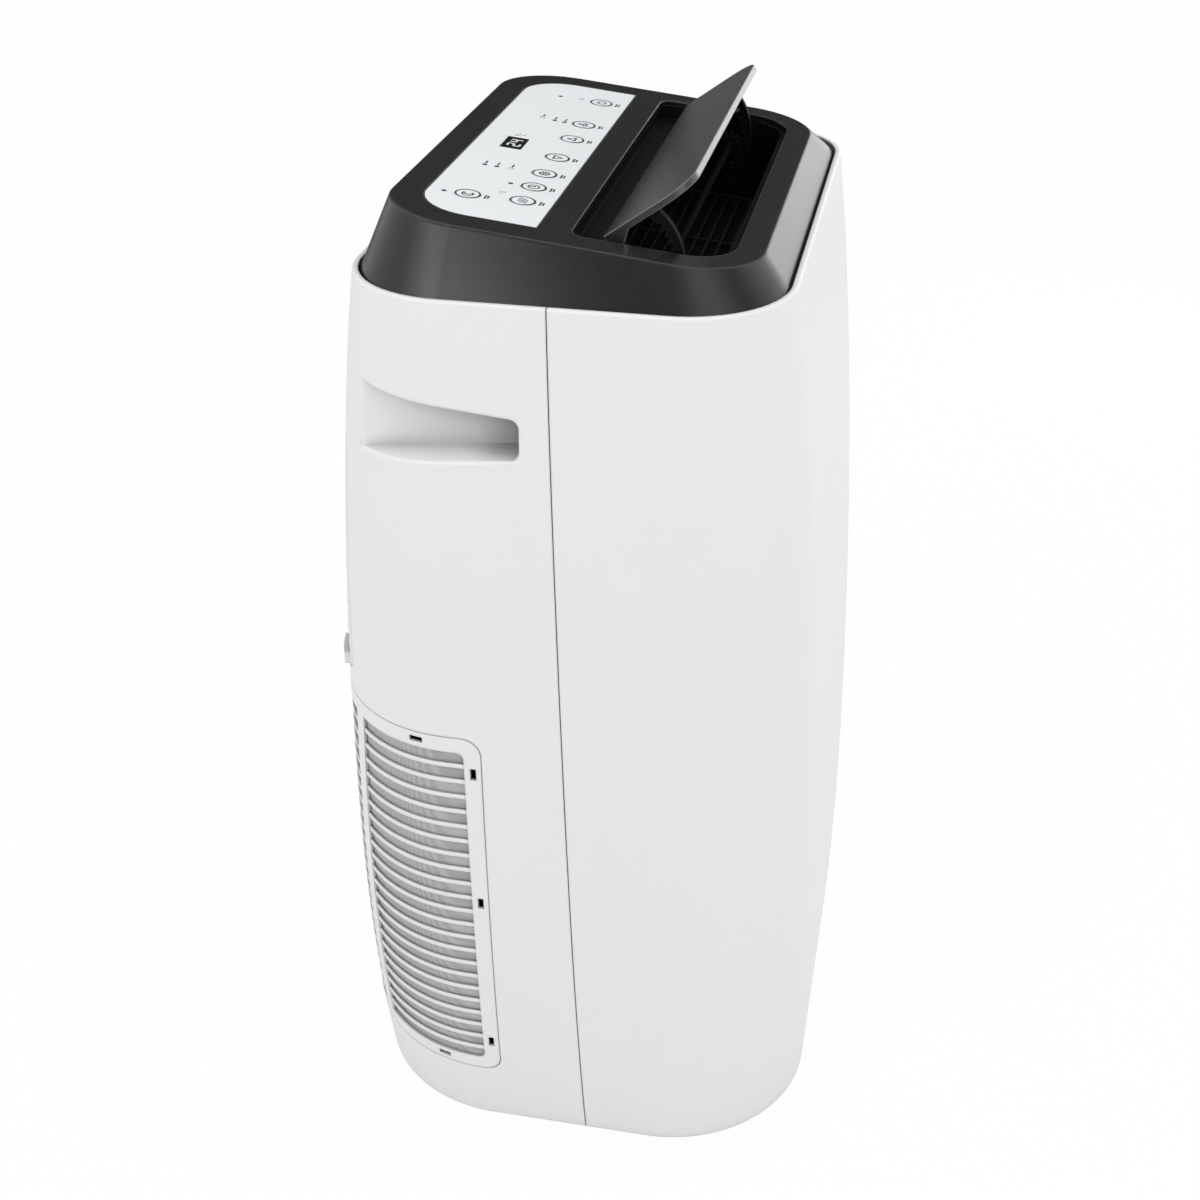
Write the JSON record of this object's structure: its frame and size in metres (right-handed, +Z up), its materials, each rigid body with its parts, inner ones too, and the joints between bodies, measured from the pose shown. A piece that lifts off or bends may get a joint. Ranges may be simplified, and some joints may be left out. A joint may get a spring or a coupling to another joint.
{
  "type": "portable air conditioner",
  "caption": "Upright portable air conditioner on castors: white barrel cabinet, dark sloping top with key panel, display and driven air flap, pull-out rear filters and an exhaust port.",
  "frame": {"origin": "on the floor, under the middle of the whole unit's outline", "axes": "+Z up, -Y towards the front face that the air flap leans over, +X to the right seen from the front"},
  "size_m": [0.4198, 0.3352, 0.7309],
  "materials": {
    "white_shell": "satin moulded",
    "dark_cover": "satin gloss",
    "black_duct": "matte",
    "label_film": "satin film",
    "key_film": "satin film",
    "display_lens": "clear gloss",
    "black_steel": "blackened",
    "bright_steel": "drawn",
    "castor_black": "moulded",
    "castor_tread": "moulded tread",
    "filter_net": "woven net",
    "pan_grey": "moulded",
    "scroll_grey": "moulded",
    "collar_white": "moulded",
    "fan_grey": "moulded",
    "motor_can": "galvanised",
    "coil_fin": "plain",
    "copper_pipe": "drawn copper",
    "compressor_black": "satin paint",
    "soft_rubber": "moulded",
    "board_green": "laminate",
    "switch_black": "moulded",
    "box_grey": "powder coat"
  },
  "bodies": {
    "cabinet": {"accumulator": "compressor_black", "base_pan": "pan_grey", "base_screws": "bright_steel", "blower_motor": "motor_can", "blower_scroll": "scroll_grey", "compressor": "compressor_black", "compressor_grommets": "soft_rubber", "condenser_coil": "coil_fin", "condenser_motor": "motor_can", "condenser_scroll": "scroll_grey", "control_board": "board_green", "control_label": "label_film", "cord_gland": "soft_rubber", "display_window": "display_lens", "electrical_box": "box_grey", "evaporator_coil": "coil_fin", "exhaust_collar": "collar_white", "flap_hinge_pins": "bright_steel", "front_housing": "white_shell", "key_switches": "switch_black", "mid_deck": "pan_grey", "outlet_duct": "black_duct", "outlet_guard": "black_duct", "rear_housing": "white_shell", "refrigerant_pipes": "copper_pipe", "swing_motor": "motor_can", "top_cover": "dark_cover"},
    "flap": {"outlet_flap": "dark_cover", "flap_rack_arms": "black_duct"},
    "swing_drive": {"swing_shaft": "black_steel", "swing_pinions": "black_duct"},
    "blower": {"blower_wheel": "fan_grey"},
    "condenser_fan": {"condenser_fan_wheel": "fan_grey"},
    "upper_filter": {"upper_filter_frame": "white_shell", "upper_filter_mesh": "filter_net"},
    "lower_filter": {"lower_grille": "white_shell", "lower_filter_mesh": "filter_net"},
    "drain_stopper": {"drain_plug": "soft_rubber"},
    "key_power_body": {"key_power": "key_film"},
    "key_speed_body": {"key_speed": "key_film"},
    "key_up_body": {"key_up": "key_film"},
    "key_down_body": {"key_down": "key_film"},
    "key_mode_body": {"key_mode": "key_film"},
    "key_timer_body": {"key_timer": "key_film"},
    "key_swing_body": {"key_swing": "key_film"},
    "key_sleep_body": {"key_sleep": "key_film"},
    "castor_swivel_front_left": {"castor_fork_front_left": "castor_black", "castor_axle_front_left": "bright_steel"},
    "castor_roller_front_left": {"castor_wheel_front_left": "castor_tread"},
    "castor_swivel_front_right": {"castor_fork_front_right": "castor_black", "castor_axle_front_right": "bright_steel"},
    "castor_roller_front_right": {"castor_wheel_front_right": "castor_tread"},
    "castor_swivel_rear_left": {"castor_fork_rear_left": "castor_black", "castor_axle_rear_left": "bright_steel"},
    "castor_roller_rear_left": {"castor_wheel_rear_left": "castor_tread"},
    "castor_swivel_rear_right": {"castor_fork_rear_right": "castor_black", "castor_axle_rear_right": "bright_steel"},
    "castor_roller_rear_right": {"castor_wheel_rear_right": "castor_tread"}
  },
  "joints": [
    {"name": "flap_hinge", "type": "hinge", "parent": "cabinet", "child": "flap", "pos_m": [0, -0.02405, 0.67939], "axis": [1, 0, 0], "range_deg": [-12, 41.7]},
    {"name": "swing_shaft_turn", "type": "hinge", "parent": "cabinet", "child": "swing_drive", "pos_m": [0, -0.05303, 0.67163], "axis": [1, 0, 0], "range_deg": [-64, 213]},
    {"name": "key_power_press", "type": "slide", "parent": "cabinet", "child": "key_power_body", "axis": [0, 0.1118, -0.9937], "range_m": [0, 0.0005], "stiffness_N_per_m": 400, "springref_m": -0.0003},
    {"name": "key_speed_press", "type": "slide", "parent": "cabinet", "child": "key_speed_body", "axis": [0, 0.1118, -0.9937], "range_m": [0, 0.0005], "stiffness_N_per_m": 400, "springref_m": -0.0003},
    {"name": "key_up_press", "type": "slide", "parent": "cabinet", "child": "key_up_body", "axis": [0, 0.1118, -0.9937], "range_m": [0, 0.0005], "stiffness_N_per_m": 400, "springref_m": -0.0003},
    {"name": "key_down_press", "type": "slide", "parent": "cabinet", "child": "key_down_body", "axis": [0, 0.1118, -0.9937], "range_m": [0, 0.0005], "stiffness_N_per_m": 400, "springref_m": -0.0003},
    {"name": "key_mode_press", "type": "slide", "parent": "cabinet", "child": "key_mode_body", "axis": [0, 0.1118, -0.9937], "range_m": [0, 0.0005], "stiffness_N_per_m": 400, "springref_m": -0.0003},
    {"name": "key_timer_press", "type": "slide", "parent": "cabinet", "child": "key_timer_body", "axis": [0, 0.1118, -0.9937], "range_m": [0, 0.0005], "stiffness_N_per_m": 400, "springref_m": -0.0003},
    {"name": "key_swing_press", "type": "slide", "parent": "cabinet", "child": "key_swing_body", "axis": [0, 0.1118, -0.9937], "range_m": [0, 0.0005], "stiffness_N_per_m": 400, "springref_m": -0.0003},
    {"name": "key_sleep_press", "type": "slide", "parent": "cabinet", "child": "key_sleep_body", "axis": [0, 0.1118, -0.9937], "range_m": [0, 0.0005], "stiffness_N_per_m": 400, "springref_m": -0.0003},
    {"name": "blower_spin", "type": "hinge", "parent": "cabinet", "child": "blower", "pos_m": [-0.072, -0.049, 0.493], "axis": [0, 1, 0], "continuous": true},
    {"name": "condenser_fan_spin", "type": "hinge", "parent": "cabinet", "child": "condenser_fan", "pos_m": [-0.034, 0.043, 0.196], "axis": [0, 1, 0], "continuous": true},
    {"name": "upper_filter_pull", "type": "slide", "parent": "cabinet", "child": "upper_filter", "axis": [0, 1, 0], "range_m": [0, 0.12]},
    {"name": "lower_filter_pull", "type": "slide", "parent": "cabinet", "child": "lower_filter", "axis": [0, 1, 0], "range_m": [0, 0.12]},
    {"name": "drain_plug_pull", "type": "slide", "parent": "cabinet", "child": "drain_stopper", "axis": [0, 1, 0], "range_m": [0, 0.03]},
    {"name": "castor_swivel_turn_front_left", "type": "hinge", "parent": "cabinet", "child": "castor_swivel_front_left", "pos_m": [-0.118, -0.098, 0.038], "axis": [0, 0, 1], "continuous": true},
    {"name": "castor_roll_front_left", "type": "hinge", "parent": "castor_swivel_front_left", "child": "castor_roller_front_left", "pos_m": [-0.118, -0.089, 0.016], "axis": [1, 0, 0], "continuous": true},
    {"name": "castor_swivel_turn_front_right", "type": "hinge", "parent": "cabinet", "child": "castor_swivel_front_right", "pos_m": [0.118, -0.098, 0.038], "axis": [0, 0, 1], "continuous": true},
    {"name": "castor_roll_front_right", "type": "hinge", "parent": "castor_swivel_front_right", "child": "castor_roller_front_right", "pos_m": [0.118, -0.089, 0.016], "axis": [1, 0, 0], "continuous": true},
    {"name": "castor_swivel_turn_rear_left", "type": "hinge", "parent": "cabinet", "child": "castor_swivel_rear_left", "pos_m": [-0.118, 0.098, 0.038], "axis": [0, 0, 1], "continuous": true},
    {"name": "castor_roll_rear_left", "type": "hinge", "parent": "castor_swivel_rear_left", "child": "castor_roller_rear_left", "pos_m": [-0.118, 0.107, 0.016], "axis": [1, 0, 0], "continuous": true},
    {"name": "castor_swivel_turn_rear_right", "type": "hinge", "parent": "cabinet", "child": "castor_swivel_rear_right", "pos_m": [0.118, 0.098, 0.038], "axis": [0, 0, 1], "continuous": true},
    {"name": "castor_roll_rear_right", "type": "hinge", "parent": "castor_swivel_rear_right", "child": "castor_roller_rear_right", "pos_m": [0.118, 0.107, 0.016], "axis": [1, 0, 0], "continuous": true}
  ],
  "couplings": [
    {"joint": "swing_shaft_turn", "follows": "flap_hinge", "ratio": 5}
  ]
}
